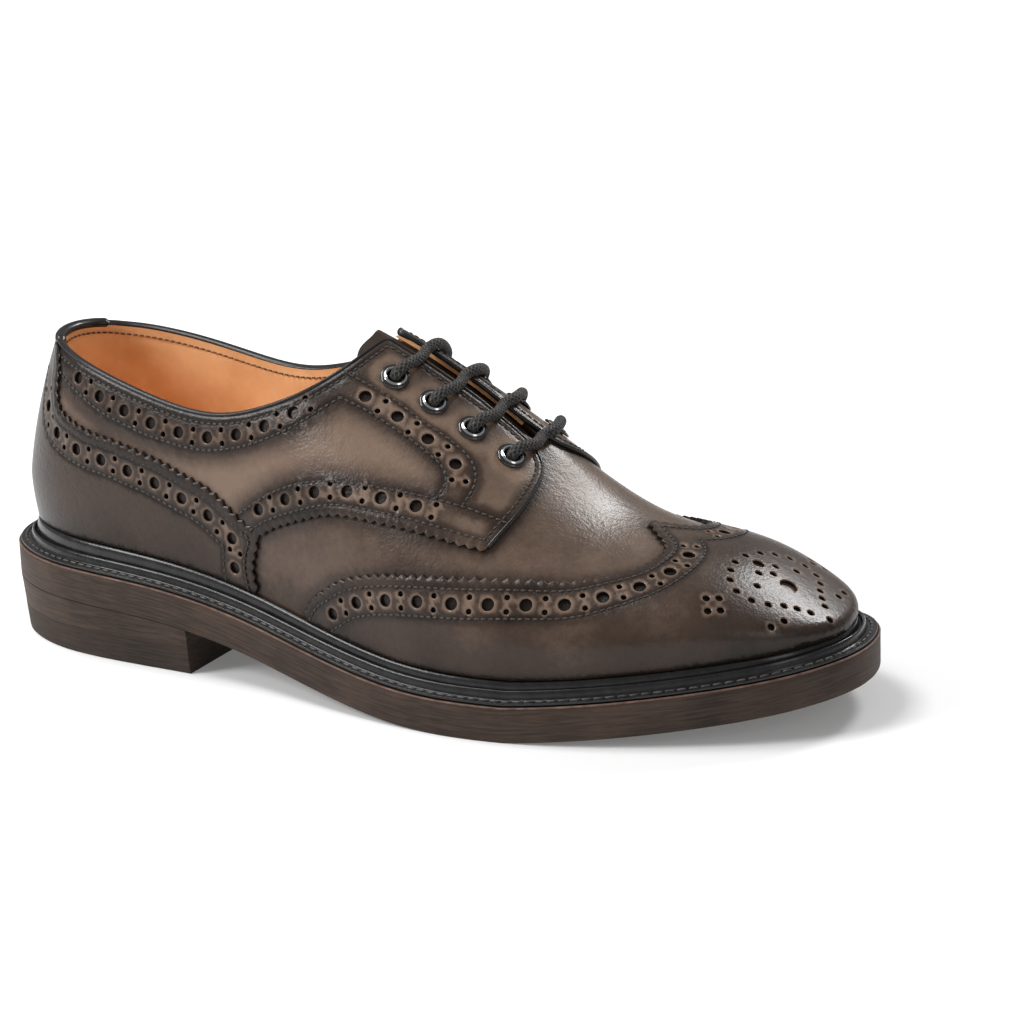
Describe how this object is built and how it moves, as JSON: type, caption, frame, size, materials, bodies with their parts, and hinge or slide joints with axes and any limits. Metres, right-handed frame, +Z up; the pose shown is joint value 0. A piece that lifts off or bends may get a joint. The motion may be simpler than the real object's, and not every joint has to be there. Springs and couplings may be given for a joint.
{
  "type": "full brogue derby shoe",
  "caption": "Open-laced dress shoe for a right foot with a winged toe cap, a counter with backstay, punched leather, a storm welt and a stacked heel.",
  "frame": {"origin": "on the floor, under the middle of the sole's length and width", "axes": "+X from heel to toe, -Y the outer side of the foot, +Z up"},
  "size_m": [0.306, 0.1152, 0.1106],
  "materials": {
    "brown_leather": "burnished",
    "dark_leather": "burnished, darker",
    "lining_leather": "smooth tan",
    "welt_leather": "waxed black",
    "sole_edge": "stained and waxed edge",
    "heel_rubber": "matte",
    "eyelet_metal": "gunmetal",
    "lace_cord": "waxed braid"
  },
  "bodies": {
    "root": {"outsole": "sole_edge", "midsole": "sole_edge", "heel_lift_upper": "sole_edge", "heel_lift_lower": "sole_edge", "heel_top_piece": "heel_rubber", "storm_welt": "welt_leather", "insole": "lining_leather", "upper": "brown_leather", "wing_cap": "dark_leather", "counter": "dark_leather", "quarter_outer": "brown_leather", "quarter_inner": "brown_leather", "tongue": "brown_leather", "eyelet_outer_1": "eyelet_metal", "eyelet_outer_2": "eyelet_metal", "eyelet_outer_3": "eyelet_metal", "eyelet_outer_4": "eyelet_metal", "eyelet_inner_1": "eyelet_metal", "eyelet_inner_2": "eyelet_metal", "eyelet_inner_3": "eyelet_metal", "eyelet_inner_4": "eyelet_metal", "lace_bar_1": "lace_cord", "lace_bar_2": "lace_cord", "lace_bar_3": "lace_cord", "lace_bar_4": "lace_cord"}
  },
  "joints": []
}
